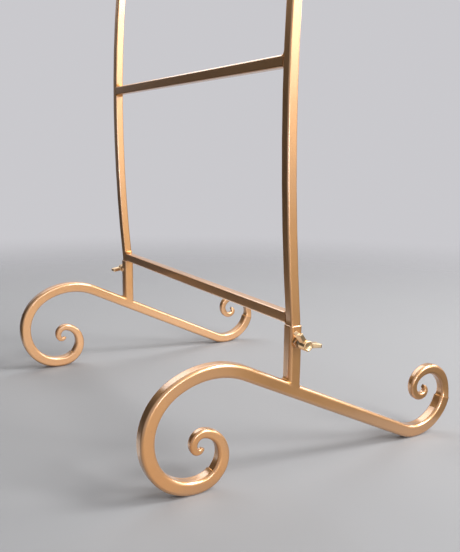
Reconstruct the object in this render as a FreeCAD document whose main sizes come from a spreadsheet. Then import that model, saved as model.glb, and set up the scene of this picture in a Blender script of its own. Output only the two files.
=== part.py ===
import FreeCAD, Part
import math
import os
import re

import Sketcher
from FreeCAD import Placement, Rotation, Vector

# Free-standing clothes rack of painted square steel tube on two S-scroll feet.
# Millimetres. X runs across the rack, Y from front to back, Z up.
# The origin is on the floor, midway between the feet and below the middle of the bars' sloped stretch.

# Driving dimensions: name, value and what it sizes. Directions are in degrees in the foot's side view,
# measured from the back (+Y) towards the top (+Z) about each arc's own centre.
SIZES = [
    ("foot_spacing", 433, "centre to centre of the feet and of the uprights"),
    ("bar_side", 14, "outer side of the foot bar and socket tube"),
    ("bar_wall", 1.25, "wall of the foot bar and socket tube"),
    ("bar_corner", 3.4, "outer corner radius of the foot bar and socket tube"),
    ("bar_slope", 25.4, "fall of the straight stretch towards the back"),
    ("bar_axis_height", 83.3, "height of the straight stretch's axis above the origin"),
    ("crest_radius", 80.2, "front of the straight stretch, over the top"),
    ("crest_end", 120, "direction where the crest ends"),
    ("brow_radius", 55, "front face of the big scroll"),
    ("brow_end", 210, "direction where the brow ends"),
    ("sole_radius", 46.5, "stretch that stands on the floor at the front"),
    ("sole_end", 279.4, "direction where the sole ends"),
    ("curl_radius", 26.5, "end of the bar in the front curl"),
    ("front_weld", 314, "direction of the weld between bar and front tip"),
    ("flare_end", 376, "direction where the front tip's first bend ends"),
    ("swirl_radius", 22.4, "top of the front curl"),
    ("swirl_end", 442, "direction where the swirl ends"),
    ("hook_radius", 10.2, "inner turn of the front tip"),
    ("hook_end", 570, "direction where the hook ends"),
    ("eye_radius", 4.7, "last turn of the front tip"),
    ("eye_end", 700, "direction where the front tip ends"),
    ("heel_radius", 45.5, "stretch that stands on the floor at the back"),
    ("heel_end", -40, "direction where the heel ends"),
    ("rise_radius", 37.7, "rising end of the bar at the back"),
    ("rear_weld", -13, "direction of the weld between bar and rear tip"),
    ("tail_radius", 30.8, "start of the rear curl"),
    ("tail_end", 62, "direction where the tail ends"),
    ("crown_radius", 23.2, "top of the rear curl"),
    ("crown_end", 140, "direction where the crown ends"),
    ("cheek_radius", 14, "front of the rear curl"),
    ("cheek_end", 230, "direction where the cheek ends"),
    ("chin_radius", 10, "bottom of the rear curl"),
    ("chin_end", 305, "direction where the chin ends"),
    ("bud_radius", 4.8, "last turn of the rear tip"),
    ("bud_end", 430, "direction where the rear tip ends"),
    ("tip_weld_side", 12.8, "side of a scroll tip at its weld"),
    ("tip_early_side", 11.4, "side of a scroll tip after its first bend"),
    ("tip_middle_side", 9.4, "side of a scroll tip half way"),
    ("tip_late_side", 7.3, "side of a scroll tip before its last bend"),
    ("tip_end_side", 4.2, "side of a scroll tip at its end"),
    ("tip_weld_round", 0.26, "corner radius over side at the weld"),
    ("tip_end_round", 0.32, "corner radius over side from half way to the end"),
    ("socket_offset", 1.3, "socket's axis behind the origin"),
    ("socket_top", 149.3, "height of the socket's rim"),
    ("rim_round", 1.2, "rounding of the socket's rim on the outside"),
    ("screw_drop", 15.5, "socket's rim down to the wing screw's axis"),
    ("nut_across", 10, "weld nut across its flats"),
    ("nut_height", 4, "height of the weld nut"),
    ("thread_radius", 3, "radius of the threaded hole"),
    ("thread_play", 0.05, "gap between the screw and a hole that it turns in"),
    ("screw_gap", 0.3, "screw's tip to the upright"),
    ("hub_radius", 5.2, "hub of the wing head"),
    ("hub_start", 9.3, "socket's face to the hub"),
    ("hub_length", 10.3, "length of the hub"),
    ("hub_dish", 1.2, "depth of the dish in the hub's end"),
    ("hub_dish_radius", 3.8, "radius of the dish in the hub's end"),
    ("hub_bore", 7, "depth of the hub's hole over the shank"),
    ("wing_reach", 17, "screw's axis to a wing's end"),
    ("wing_root", 5.6, "width of a wing at the screw's axis"),
    ("wing_tip", 11.3, "width of a wing near its end"),
    ("wing_corner", 2, "corner radius of a wing's end"),
    ("wing_thickness", 3.2, "thickness of a wing"),
    ("notch_radius", 3.4, "radius of the notch in a wing's end"),
    ("notch_depth", 2.8, "depth of the notch in a wing's end"),
    ("first_wing", 126, "direction of the upper wing"),
    ("second_wing", -6, "direction of the lower wing"),
    ("left_screw_turn", -2, "how far the left screw is turned from the right one's position"),
    ("upright_side", 11.2, "outer side of the uprights and crossbars"),
    ("upright_wall", 1.1, "wall of the uprights, crossbars and rail"),
    ("upright_corner", 2, "outer corner radius of the uprights and crossbars"),
    ("tenon_gap", 3.7, "foot bar to the upright's lower end inside the socket"),
    ("kink_rise", 3, "socket's rim up to where the upright leaves the vertical"),
    ("kink_radius", 30, "bend at the lower crossbar"),
    ("lower_lean", 5.5, "forward lean above the lower crossbar"),
    ("lower_bow_radius", 2240, "bow from the kink to the foremost point"),
    ("upper_bow_radius", 1750, "bow above the foremost point"),
    ("upper_lean", 8, "greatest backward lean"),
    ("return_radius", 1750, "bow that brings the upright back to the vertical"),
    ("upright_top", 1398.5, "height of the upright's upper end"),
    ("rim_gap", 0.3, "socket's rim up to the lower crossbar, which stops the frame"),
    ("bar_spacing", 240.5, "axis to axis of the two crossbars"),
    ("rail_drop", 13.5, "upright's upper end down to the hanging rail's axis"),
    ("rail_radius", 5, "outer radius of the hanging rail"),
    ("cap_height", 1.5, "part of the cap above the upright"),
    ("plug_depth", 12, "part of the cap inside the upright"),
    ("plug_play", 0.1, "gap between the plug and the tube"),
]

# Arcs of the foot bar and of the tips, in order from the straight stretch outwards.
FRONT_BAR = ["crest", "brow", "sole", "curl"]
REAR_BAR = ["heel", "rise"]
FRONT_TIP = ["flare", "swirl", "hook", "eye"]
REAR_TIP = ["tail", "crown", "cheek", "chin", "bud"]

doc = FreeCAD.newDocument("clothes_rack")
sheet = doc.addObject("Spreadsheet::Sheet", "Sizes")


def add_cell(alias, content, note=""):
    """Write one named cell in the next free row of the sheet."""
    row = add_cell.next_row
    sheet.set(f"A{row}", alias)
    sheet.set(f"B{row}", content)
    sheet.setAlias(f"B{row}", alias)
    sheet.set(f"C{row}", note)
    add_cell.next_row += 1


add_cell.next_row = 1
for alias, number, note in SIZES:
    add_cell(alias, str(number), note)

# Where the straight stretch ends: the sole and the heel both touch the floor.
add_cell("crest_begin_z", "=bar_side / 2 + sole_radius - (brow_radius - sole_radius) * sin(brow_end)"
         " - (crest_radius - brow_radius) * sin(crest_end) + crest_radius * cos(bar_slope)")
add_cell("crest_begin_y", "=(bar_axis_height - crest_begin_z) / tan(bar_slope)")
add_cell("crest_y", "=crest_begin_y - crest_radius * sin(bar_slope)")
add_cell("crest_z", "=crest_begin_z - crest_radius * cos(bar_slope)")
add_cell("heel_z", "=bar_side / 2 + heel_radius")
add_cell("heel_y", "=(heel_radius / cos(bar_slope) + bar_axis_height - heel_z) / tan(bar_slope)")
add_cell("heel_begin_y", "=heel_y - heel_radius * sin(bar_slope)")
add_cell("heel_begin_z", "=heel_z - heel_radius * cos(bar_slope)")
add_cell("rise_end", "=rear_weld")
add_cell("first_begin", "=90 - bar_slope")
add_cell("heel_begin", "=-90 - bar_slope")

# Heights that follow the socket and the upright's upper end.
add_cell("screw_height", "=socket_top - screw_drop")
add_cell("upright_foot", "=bar_axis_height - (socket_offset - upright_side / 2) * tan(bar_slope)"
         " + bar_side / 2 / cos(bar_slope) + tenon_gap")
add_cell("kink_height", "=socket_top + kink_rise")
add_cell("lower_bar_height", "=socket_top + rim_gap + upright_side / 2")
add_cell("upper_bar_height", "=lower_bar_height + bar_spacing")
add_cell("rail_height", "=upright_top - rail_drop")

# Where the uprights' bows run, and where the bars between the uprights meet them.
add_cell("bow_y", "=socket_offset - kink_radius + (kink_radius + lower_bow_radius) * cos(lower_lean)")
add_cell("bow_z", "=kink_height + (kink_radius + lower_bow_radius) * sin(lower_lean)")
add_cell("apex_y", "=bow_y - lower_bow_radius")
add_cell("return_y", "=apex_y + upper_bow_radius - (upper_bow_radius + return_radius) * cos(upper_lean)")
add_cell("return_z", "=bow_z + (upper_bow_radius + return_radius) * sin(upper_lean)")
add_cell("top_y", "=return_y + return_radius")
add_cell("lower_bar_y", "=bow_y - sqrt(lower_bow_radius ^ 2 - (lower_bar_height - bow_z) ^ 2)")
add_cell("upper_bar_y", "=apex_y + upper_bow_radius"
         " - sqrt(upper_bow_radius ^ 2 - (upper_bar_height - bow_z) ^ 2)")


def add_centres(stages):
    """Each arc's centre lies on the line through its neighbour's centre and their common point."""
    for before, after in zip(stages, stages[1:]):
        step = f"({before}_radius - {after}_radius)"
        add_cell(f"{after}_y", f"={before}_y + {step} * cos({before}_end)")
        add_cell(f"{after}_z", f"={before}_z + {step} * sin({before}_end)")


add_centres(FRONT_BAR)
add_centres(REAR_BAR)
# A tip is thinner than the bar and flush with its outer face, so its axis is further out at the weld.
add_cell("tip_shift", "=(bar_side - tip_weld_side) / 2")
add_cell("flare_radius", "=curl_radius + tip_shift")
add_cell("flare_y", "=curl_y")
add_cell("flare_z", "=curl_z")
add_cell("tail_y", "=rise_y + (rise_radius + tip_shift - tail_radius) * cos(rear_weld)")
add_cell("tail_z", "=rise_z + (rise_radius + tip_shift - tail_radius) * sin(rear_weld)")
add_centres(FRONT_TIP)
add_centres(REAR_TIP)
doc.recompute()


def value(expression):
    """Number that an expression on the sheet gives."""
    result = sheet.evalExpression(expression)
    return float(getattr(result, "Value", result))


def named(expression):
    """The same expression, with each cell named from outside the sheet."""
    return re.sub(r"\b[a-z_]+\b(?!\()", lambda word: f"Sizes.{word.group()}", expression)


def bind(target, prop, expression, unit=""):
    """Bind a property to an expression made of the sheet's names."""
    target.setExpression(prop, f"({named(expression)}){unit}")


def constrain(sketch, expression, *constraint, unit=" * 1 mm"):
    """Add a dimension to a sketch and bind it to the sheet."""
    number = value(expression)
    if unit == " * 1 deg":
        number = math.radians(number)
    index = sketch.addConstraint(Sketcher.Constraint(*constraint, number))
    bind(sketch, f"Constraints[{index}]", expression, unit)


def new_body(label):
    """Empty body whose label is the node's name."""
    body = doc.addObject("PartDesign::Body", label)
    body.Label = label
    return body


def new_sketch(body, name, plane):
    """Sketch on one of the body's own origin planes."""
    sketch = body.newObject("Sketcher::SketchObject", f"{body.Name}_{name}")
    origin = next(o for o in body.Origin.OriginFeatures if o.Role == plane)
    sketch.AttachmentSupport = [(origin, "")]
    sketch.MapMode = "FlatFace"
    return sketch


def turn_sketch(sketch, axis, angle):
    """Turn a sketch about an axis of its own plane by a bound angle; the first angle only sets the axis."""
    sketch.AttachmentOffset = Placement(Vector(0, 0, 0), Rotation(axis, 30))
    bind(sketch, "AttachmentOffset.Rotation.Angle", angle, " * 1 deg")


def move_sketch(sketch, **places):
    """Move a sketch along the axes of its own plane by bound lengths."""
    for axis, place in places.items():
        bind(sketch, f"AttachmentOffset.Base.{axis}", place, " * 1 mm")


def rounded_square(sketch, side, corner):
    """Square outline with round corners about the sketch's origin; side and corner are expressions."""
    half = value(side) / 2
    radius = value(corner)
    flat = half - radius
    first = sketch.GeometryCount
    for quarter in range(4):
        turn = Rotation(Vector(0, 0, 1), 90 * quarter)
        sketch.addGeometry(Part.LineSegment(turn * Vector(-flat, -half, 0), turn * Vector(flat, -half, 0)))
        circle = Part.Circle(turn * Vector(flat, -flat, 0), Vector(0, 0, 1), radius)
        begin = math.radians(90 * quarter - 90)
        sketch.addGeometry(Part.ArcOfCircle(circle, begin, begin + math.pi / 2))
    lines = range(first, first + 8, 2)
    arcs = range(first + 1, first + 9, 2)
    for quarter in range(4):
        sketch.addConstraint(Sketcher.Constraint("Tangent", lines[quarter], 2, arcs[quarter], 1))
        sketch.addConstraint(Sketcher.Constraint("Tangent", arcs[quarter], 2, lines[(quarter + 1) % 4], 1))
        level = "Vertical" if quarter % 2 else "Horizontal"
        sketch.addConstraint(Sketcher.Constraint(level, lines[quarter]))
    for arc in arcs[1:]:
        sketch.addConstraint(Sketcher.Constraint("Equal", arcs[0], arc))
    sketch.addConstraint(Sketcher.Constraint("Symmetric", arcs[0], 3, arcs[2], 3, -1, 1))
    constrain(sketch, corner, "Radius", arcs[0])
    constrain(sketch, side, "DistanceX", lines[3], 1, lines[1], 1)
    constrain(sketch, side, "DistanceY", lines[0], 1, lines[2], 1)


def circle_outline(sketch, radius):
    """Circle about the sketch's origin."""
    index = sketch.addGeometry(Part.Circle(Vector(0, 0, 0), Vector(0, 0, 1), value(radius)))
    sketch.addConstraint(Sketcher.Constraint("Coincident", index, 3, -1, 1))
    constrain(sketch, radius, "Radius", index)


def add_arc(sketch, stage, begin, end):
    """One arc of a scroll, whose sweep and radius come from the sheet."""
    centre = Vector(value(f"{stage}_y"), value(f"{stage}_z"), 0)
    circle = Part.Circle(centre, Vector(0, 0, 1), value(f"{stage}_radius"))
    start, stop = math.radians(value(begin)), math.radians(value(end))
    index = sketch.addGeometry(Part.ArcOfCircle(circle, start, stop))
    constrain(sketch, f"{stage}_radius", "Radius", index)
    constrain(sketch, f"{end} - ({begin})", "Angle", index, unit=" * 1 deg")
    return index


def add_scroll(sketch, stages, begin, end):
    """Chain of tangent arcs; each one begins where the one before ends."""
    ends = [f"{stage}_end" for stage in stages[:-1]] + [end]
    begins = [begin] + ends[:-1]
    chain = [add_arc(sketch, *row) for row in zip(stages, begins, ends)]
    for before, after in zip(chain, chain[1:]):
        sketch.addConstraint(Sketcher.Constraint("Tangent", before, 2, after, 1))
    return chain


def pin_point(sketch, element, place, y_name, z_name):
    """Hold one point of a sketch at a place that the sheet gives."""
    constrain(sketch, y_name, "DistanceX", -1, 1, element, place)
    constrain(sketch, z_name, "DistanceY", -1, 1, element, place)


def section_on_path(body, name, stage, direction, side, corner):
    """Sketch square to the path where an arc has the given direction, with its first outline."""
    sketch = new_sketch(body, name, "XY_Plane")
    turn_sketch(sketch, Vector(1, 0, 0), direction)
    move_sketch(sketch, y=f"{stage}_y + {stage}_radius * cos({direction})",
                z=f"{stage}_z + {stage}_radius * sin({direction})")
    rounded_square(sketch, side, corner)
    return sketch


def sweep(body, profile, path, sections=()):
    """Sweep a profile along a path in the YZ plane, through further sections where there are any."""
    pipe = body.newObject("PartDesign::AdditivePipe", f"{body.Name}_sweep")
    pipe.Profile = profile
    pipe.Spine = path
    pipe.Mode = "Binormal"
    pipe.Binormal = Vector(1, 0, 0)
    if sections:
        pipe.Transformation = "Multisection"
        pipe.Sections = [(section, "") for section in sections]
    return pipe


def pad(body, sketch, length, midplane=False, reverse=False):
    """Extrude a sketch by an expression."""
    feature = body.newObject("PartDesign::Pad", f"{sketch.Name}_pad")
    feature.Profile = sketch
    bind(feature, "Length", length, " * 1 mm")
    feature.Midplane = midplane
    feature.Reversed = reverse
    return feature


def pocket(body, sketch, length, midplane=False, reverse=False):
    """Cut a sketch into a body by an expression."""
    feature = body.newObject("PartDesign::Pocket", f"{sketch.Name}_pocket")
    feature.Profile = sketch
    bind(feature, "Length", length, " * 1 mm")
    feature.Midplane = midplane
    feature.Reversed = reverse
    return feature


def place_at_foot(node, sign):
    """Move a node from the middle of the rack to the left or right foot."""
    bind(node, "Placement.Base.x", f"{sign} * foot_spacing / 2", " * 1 mm")


def make_foot_bar(label):
    """Bent square tube: front weld, sole, brow, crest, straight stretch, heel, rear weld."""
    body = new_body(label)
    path = new_sketch(body, "path", "YZ_Plane")
    front_end = Vector(value("crest_begin_y"), value("crest_begin_z"), 0)
    rear_end = Vector(value("heel_begin_y"), value("heel_begin_z"), 0)
    straight = path.addGeometry(Part.LineSegment(front_end, rear_end))
    pin_point(path, straight, 1, "crest_begin_y", "crest_begin_z")
    pin_point(path, straight, 2, "heel_begin_y", "heel_begin_z")
    front = add_scroll(path, FRONT_BAR, "first_begin", "front_weld")
    rear = add_scroll(path, REAR_BAR, "heel_begin", "rear_weld")
    path.addConstraint(Sketcher.Constraint("Tangent", straight, 1, front[0], 1))
    path.addConstraint(Sketcher.Constraint("Tangent", straight, 2, rear[0], 1))
    profile = section_on_path(body, "profile", "curl", "front_weld", "bar_side", "bar_corner")
    rounded_square(profile, "bar_side - 2 * bar_wall", "bar_corner - bar_wall")
    sweep(body, profile, path)
    return body


def make_tip(label, stages, weld, end):
    """Solid scroll tip that tapers and grows rounder from its weld to its end."""
    body = new_body(label)
    path = new_sketch(body, "path", "YZ_Plane")
    chain = add_scroll(path, stages, weld, end)
    first = stages[0]
    pin_point(path, chain[0], 3, f"{first}_y", f"{first}_z")
    constrain(path, f"{first}_z + {first}_radius * sin({weld})", "DistanceY", -1, 1, chain[0], 1)
    stations = [(first, weld)] + [(stage, f"{stage}_end") for stage in stages[:-1]] + [(stages[-1], end)]
    sides = ["tip_weld_side", "tip_early_side", "tip_middle_side", "tip_late_side", "tip_end_side"]
    if len(stations) > len(sides):
        sides.insert(3, "(tip_middle_side + tip_late_side) / 2")
    rounds = ["tip_weld_round", "(tip_weld_round + tip_end_round) / 2"] + ["tip_end_round"] * (len(sides) - 2)
    sections = [section_on_path(body, f"section_{number}", stage, direction, side, f"({side}) * ({rounding})")
                for number, ((stage, direction), side, rounding) in enumerate(zip(stations, sides, rounds))]
    sweep(body, sections[0], path, sections[1:])
    return body


def make_socket(label, sign):
    """Square tube coped over the sloping bar, with the screw's clearance hole in its outer face."""
    body = new_body(label)
    base = "bar_axis_height - socket_offset * tan(bar_slope)"
    ring = new_sketch(body, "ring", "XY_Plane")
    move_sketch(ring, y="socket_offset", z=base)
    rounded_square(ring, "bar_side", "bar_corner")
    rounded_square(ring, "bar_side - 2 * bar_wall", "bar_corner - bar_wall")
    pad(body, ring, f"socket_top - ({base})")
    cope = new_sketch(body, "cope", "XZ_Plane")
    turn_sketch(cope, Vector(1, 0, 0), "0 - bar_slope")
    move_sketch(cope, y=base, z="0 - socket_offset")
    rounded_square(cope, "bar_side", "bar_corner")
    pocket(body, cope, "bar_side * 4", midplane=True)
    hole = new_sketch(body, "hole", "YZ_Plane")
    move_sketch(hole, x="socket_offset", y="screw_height")
    circle_outline(hole, "thread_radius + screw_gap")
    pocket(body, hole, "bar_side", reverse=sign > 0)
    doc.recompute()
    tube = body.Tip
    rim = body.newObject("PartDesign::Fillet", f"{label}_rim")
    rim.Base = (tube, outer_rim_edges(tube.Shape))
    bind(rim, "Radius", "rim_round", " * 1 mm")
    return body


def outer_rim_edges(shape):
    """Names of the edges round the outside of the socket's rim."""
    top = value("socket_top")
    limit = (value("bar_side") - value("bar_wall")) / 2
    middle = value("socket_offset")
    names = []
    for number, edge in enumerate(shape.Edges, 1):
        points = [vertex.Point for vertex in edge.Vertexes]
        level = all(abs(point.z - top) < 0.01 for point in points)
        outside = all(max(abs(point.x), abs(point.y - middle)) > limit for point in points)
        if level and outside:
            names.append(f"Edge{number}")
    return names


def make_weld_nut(label):
    """Six-sided nut with the screw's threaded hole."""
    block = doc.addObject("Part::Prism", f"{label}_block")
    block.Polygon = 6
    bind(block, "Circumradius", "nut_across / 2 / cos(30)", " * 1 mm")
    bind(block, "Height", "nut_height", " * 1 mm")
    hole = doc.addObject("Part::Cylinder", f"{label}_hole")
    bind(hole, "Radius", "thread_radius", " * 1 mm")
    bind(hole, "Height", "nut_height", " * 1 mm")
    nut = doc.addObject("Part::Cut", label)
    nut.Base = block
    nut.Tool = hole
    return nut


def make_shank(label):
    """Threaded rod from the upright's face into the hub; its axis is Z, from the socket's outer face."""
    body = new_body(label)
    tip = "(upright_side - bar_side) / 2 + screw_gap"
    disc = new_sketch(body, "disc", "XY_Plane")
    move_sketch(disc, z=tip)
    circle_outline(disc, "thread_radius - thread_play")
    pad(body, disc, f"hub_start + hub_bore - screw_gap - ({tip})")
    return body


def make_wing_head(label):
    """Hub with a dished end and two wings with notched ends; its axis is Z, from the socket's outer face."""
    body = new_body(label)
    disc = new_sketch(body, "hub", "XY_Plane")
    move_sketch(disc, z="hub_start")
    circle_outline(disc, "hub_radius")
    pad(body, disc, "hub_length")
    middle = "hub_start + hub_length / 2"
    for name in ("first_wing", "second_wing"):
        outline = new_sketch(body, name, "XZ_Plane")
        add_wing_outline(outline, middle)
        turn_sketch(outline, Vector(0, 1, 0), name)
        pad(body, outline, "wing_thickness", midplane=True)
        notch = new_sketch(body, f"{name}_notch", "XZ_Plane")
        start = Vector(value("wing_reach"), value(middle), 0)
        circle = notch.addGeometry(Part.Circle(start, Vector(0, 0, 1), value("notch_radius")))
        constrain(notch, "notch_radius", "Radius", circle)
        pin_point(notch, circle, 3, "wing_reach + notch_radius - notch_depth", middle)
        turn_sketch(notch, Vector(0, 1, 0), name)
        pocket(body, notch, "wing_thickness * 2", midplane=True)
    bore = new_sketch(body, "bore", "XY_Plane")
    move_sketch(bore, z="hub_start")
    circle_outline(bore, "thread_radius")
    pocket(body, bore, "hub_bore", reverse=True)
    dish = new_sketch(body, "dish", "XY_Plane")
    move_sketch(dish, z="hub_start + hub_length")
    circle_outline(dish, "hub_dish_radius")
    pocket(body, dish, "hub_dish")
    return body


def add_wing_outline(sketch, middle):
    """Wing that widens from the screw's axis to an end with two round corners."""
    along = value(middle)
    root = value("wing_root") / 2
    reach = value("wing_reach")
    corner = value("wing_corner")
    rise = value("wing_tip") / 2 - corner
    normal = Vector(0, 0, 1)
    low, high = Vector(0, along - root, 0), Vector(0, along + root, 0)
    low_centre, high_centre = Vector(reach - corner, along - rise, 0), Vector(reach - corner, along + rise, 0)
    drop = Vector(0, corner, 0)
    aside = Vector(corner, 0, 0)
    flank = sketch.addGeometry(Part.LineSegment(low, low_centre - drop))
    first = sketch.addGeometry(Part.ArcOfCircle(Part.Circle(low_centre, normal, corner), -math.pi / 2, 0))
    end = sketch.addGeometry(Part.LineSegment(low_centre + aside, high_centre + aside))
    second = sketch.addGeometry(Part.ArcOfCircle(Part.Circle(high_centre, normal, corner), 0, math.pi / 2))
    back = sketch.addGeometry(Part.LineSegment(high_centre + drop, high))
    inner = sketch.addGeometry(Part.LineSegment(high, low))
    for before, after in ((flank, first), (first, end), (end, second), (second, back)):
        sketch.addConstraint(Sketcher.Constraint("Tangent", before, 2, after, 1))
    for before, after in ((back, inner), (inner, flank)):
        sketch.addConstraint(Sketcher.Constraint("Coincident", before, 2, after, 1))
    sketch.addConstraint(Sketcher.Constraint("PointOnObject", flank, 1, -2))
    sketch.addConstraint(Sketcher.Constraint("PointOnObject", back, 2, -2))
    sketch.addConstraint(Sketcher.Constraint("Vertical", end))
    sketch.addConstraint(Sketcher.Constraint("Equal", first, second))
    constrain(sketch, "wing_corner", "Radius", first)
    constrain(sketch, f"{middle} - wing_root / 2", "DistanceY", -1, 1, flank, 1)
    constrain(sketch, f"{middle} + wing_root / 2", "DistanceY", -1, 1, back, 2)
    constrain(sketch, f"{middle} + wing_tip / 2 - wing_corner", "DistanceY", -1, 1, second, 3)
    pin_point(sketch, first, 3, "wing_reach - wing_corner", f"{middle} - wing_tip / 2 + wing_corner")


def make_upright(label):
    """Square tube: straight lower end, kink, two bows back and forth, straight upper end."""
    body = new_body(label)
    path = new_sketch(body, "path", "YZ_Plane")
    normal = Vector(0, 0, 1)
    foot = Vector(value("socket_offset"), value("upright_foot"), 0)
    kink = Vector(value("socket_offset"), value("kink_height"), 0)
    straight = Vector(value("top_y"), value("return_z"), 0)
    top = Vector(value("top_y"), value("upright_top"), 0)
    lower = math.radians(value("lower_lean"))
    upper = math.radians(value("upper_lean"))
    apex_y, bow_z = value("apex_y"), value("bow_z")
    radii = ("kink_radius", "lower_bow_radius", "upper_bow_radius", "return_radius")
    spans = ("lower_lean", "lower_lean", "upper_lean", "upper_lean")
    centres = (
        kink - Vector(value("kink_radius"), 0, 0),
        Vector(value("bow_y"), bow_z, 0),
        Vector(apex_y + value("upper_bow_radius"), bow_z, 0),
        Vector(value("return_y"), value("return_z"), 0),
    )
    turns = ((0, lower), (math.pi, math.pi + lower), (math.pi - upper, math.pi), (-upper, 0))
    tenon = path.addGeometry(Part.LineSegment(foot, kink))
    bows = []
    for radius, span, centre, turn in zip(radii, spans, centres, turns):
        bow = path.addGeometry(Part.ArcOfCircle(Part.Circle(centre, normal, value(radius)), *turn))
        constrain(path, radius, "Radius", bow)
        constrain(path, span, "Angle", bow, unit=" * 1 deg")
        bows.append(bow)
    stretch = path.addGeometry(Part.LineSegment(straight, top))
    pin_point(path, tenon, 1, "socket_offset", "upright_foot")
    pin_point(path, tenon, 2, "socket_offset", "kink_height")
    for joint in ((tenon, 2, bows[0], 1), (bows[0], 2, bows[1], 2), (bows[1], 1, bows[2], 2),
                  (bows[2], 1, bows[3], 1), (bows[3], 2, stretch, 1)):
        path.addConstraint(Sketcher.Constraint("Tangent", *joint))
    constrain(path, "upright_top", "DistanceY", -1, 1, stretch, 2)
    profile = new_sketch(body, "profile", "XY_Plane")
    move_sketch(profile, y="socket_offset", z="upright_foot")
    rounded_square(profile, "upright_side", "upright_corner")
    rounded_square(profile, "upright_side - 2 * upright_wall", "upright_corner - upright_wall")
    sweep(body, profile, path)
    return body


def make_cap(label):
    """Square cap with a plug that fills the upright's upper end."""
    body = new_body(label)
    lid = new_sketch(body, "lid", "XY_Plane")
    move_sketch(lid, y="top_y", z="upright_top")
    rounded_square(lid, "upright_side", "upright_corner")
    pad(body, lid, "cap_height")
    plug = new_sketch(body, "plug", "XY_Plane")
    move_sketch(plug, y="top_y", z="upright_top")
    rounded_square(plug, "upright_side - 2 * upright_wall - 2 * plug_play", "upright_corner - upright_wall")
    pad(body, plug, "plug_depth", reverse=True)
    return body


def make_crossbar(label, y_name, z_name):
    """Square tube between the uprights' inner faces."""
    body = new_body(label)
    ring = new_sketch(body, "ring", "YZ_Plane")
    move_sketch(ring, x=y_name, y=z_name)
    rounded_square(ring, "upright_side", "upright_corner")
    rounded_square(ring, "upright_side - 2 * upright_wall", "upright_corner - upright_wall")
    pad(body, ring, "foot_spacing - upright_side", midplane=True)
    return body


def make_rail(label):
    """Round tube between the uprights' inner faces."""
    body = new_body(label)
    ring = new_sketch(body, "ring", "YZ_Plane")
    move_sketch(ring, x="top_y", y="rail_height")
    circle_outline(ring, "rail_radius")
    circle_outline(ring, "rail_radius - upright_wall")
    pad(body, ring, "foot_spacing - upright_side", midplane=True)
    return body


def place_screw(node, sign, turn):
    """Put a piece of the wing screw on the socket's outer face, its axis pointing away from the rack."""
    right_side = Rotation(Vector(1, 1, 1), 120)
    outward = right_side if sign > 0 else Rotation(Vector(0, 0, 1), 180) * right_side
    node.Placement = Placement(Vector(0, 0, 0), outward * Rotation(Vector(0, 0, 1), turn))
    bind(node, "Placement.Base.x", f"{sign} * (foot_spacing + bar_side) / 2", " * 1 mm")
    bind(node, "Placement.Base.y", "socket_offset", " * 1 mm")
    bind(node, "Placement.Base.z", "screw_height", " * 1 mm")


nodes = []
for side_name, sign in (("left", -1), ("right", 1)):
    foot_nodes = [
        make_foot_bar(f"{side_name}_foot_bar"),
        make_tip(f"{side_name}_front_scroll_tip", FRONT_TIP, "front_weld", "eye_end"),
        make_tip(f"{side_name}_rear_scroll_tip", REAR_TIP, "rear_weld", "bud_end"),
        make_socket(f"{side_name}_socket", sign),
        make_upright(f"{side_name}_upright"),
        make_cap(f"{side_name}_upright_cap"),
    ]
    for node in foot_nodes:
        place_at_foot(node, sign)
    screw_nodes = [
        make_weld_nut(f"{side_name}_weld_nut"),
        make_shank(f"{side_name}_screw_shank"),
        make_wing_head(f"{side_name}_wing_head"),
    ]
    for node in screw_nodes:
        place_screw(node, sign, value("left_screw_turn") if sign < 0 else 0)
    nodes += foot_nodes + screw_nodes
nodes += [
    make_crossbar("lower_crossbar", "lower_bar_y", "lower_bar_height"),
    make_crossbar("upper_crossbar", "upper_bar_y", "upper_bar_height"),
    make_rail("hanging_rail"),
]
doc.recompute()

for item in doc.Objects:
    if "Invalid" in item.State or "Error" in item.State:
        raise RuntimeError(f"{item.Label} is not built: {item.State}")
os.makedirs("parts", exist_ok=True)
for node in nodes:
    shape = node.Shape
    if shape.isNull() or not shape.isValid() or len(shape.Solids) != 1:
        raise RuntimeError(f"{node.Label} is not one valid solid")
    shape.exportStep(f"parts/{node.Label}.step")
    box = shape.optimalBoundingBox()
    print(f"{node.Label}: {shape.Volume:.0f} mm3, x {box.XMin:.1f} to {box.XMax:.1f}, "
          f"y {box.YMin:.1f} to {box.YMax:.1f}, z {box.ZMin:.1f} to {box.ZMax:.1f}")
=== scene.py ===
"""Looks of the clothes rack: gold paint, welds, wing screws, studio and camera."""

import logging
import math
from dataclasses import dataclass
from enum import Enum
from typing import Any, Optional, Union

import bmesh
import bpy
from mathutils import Matrix, Vector


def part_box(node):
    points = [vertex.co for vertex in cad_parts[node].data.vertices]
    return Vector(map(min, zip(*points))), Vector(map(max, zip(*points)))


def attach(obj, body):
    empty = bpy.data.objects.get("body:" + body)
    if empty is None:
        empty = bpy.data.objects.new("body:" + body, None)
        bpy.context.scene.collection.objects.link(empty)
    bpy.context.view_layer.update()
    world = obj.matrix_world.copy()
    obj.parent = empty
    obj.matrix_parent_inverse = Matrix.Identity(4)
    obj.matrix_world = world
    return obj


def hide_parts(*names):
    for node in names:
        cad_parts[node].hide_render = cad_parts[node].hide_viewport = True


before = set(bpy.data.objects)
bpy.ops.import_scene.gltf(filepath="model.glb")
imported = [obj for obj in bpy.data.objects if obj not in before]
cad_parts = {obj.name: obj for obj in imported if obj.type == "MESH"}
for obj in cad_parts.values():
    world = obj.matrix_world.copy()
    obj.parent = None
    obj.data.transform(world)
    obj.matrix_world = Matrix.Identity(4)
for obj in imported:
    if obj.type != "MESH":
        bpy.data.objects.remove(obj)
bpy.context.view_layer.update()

LOG = logging.getLogger("clothes_rack")

MM = 0.001
Colour = tuple[float, float, float]

# Points closer together than this become one.
MERGE = 1e-7
# Room for rounding where points are picked by their place.
SLACK = 0.01 * MM
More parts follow.
